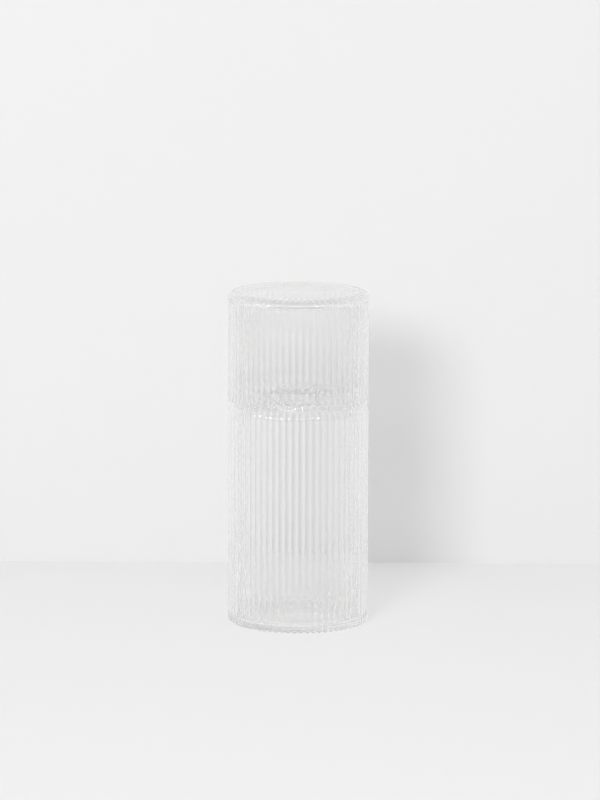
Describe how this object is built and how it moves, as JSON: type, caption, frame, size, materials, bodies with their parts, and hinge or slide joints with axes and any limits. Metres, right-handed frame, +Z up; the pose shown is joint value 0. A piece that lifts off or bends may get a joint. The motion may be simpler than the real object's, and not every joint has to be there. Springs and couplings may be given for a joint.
{
  "type": "bedside carafe with tumbler",
  "caption": "Straight clear glass carafe with a short neck, capped by an upturned tumbler of the same width; vertical ribs run round both and curl over their corners.",
  "frame": {"origin": "on the table under the middle of the carafe, at the level of its standing ring", "axes": "+Z up along the axis of both pieces; the set is round, so +X and +Y lie anywhere, with a rib of the carafe on +X and a valley of the tumbler over it"},
  "size_m": [0.0766, 0.0766, 0.1812],
  "materials": {
    "carafe_glass": "clear, polished",
    "tumbler_glass": "clear, polished"
  },
  "bodies": {
    "carafe": {"carafe": "carafe_glass"},
    "tumbler": {"tumbler": "tumbler_glass"}
  },
  "joints": [
    {"name": "tumbler_lift", "type": "slide", "parent": "carafe", "child": "tumbler", "axis": [0, 0, 1], "range_m": [0, 0.045]}
  ]
}
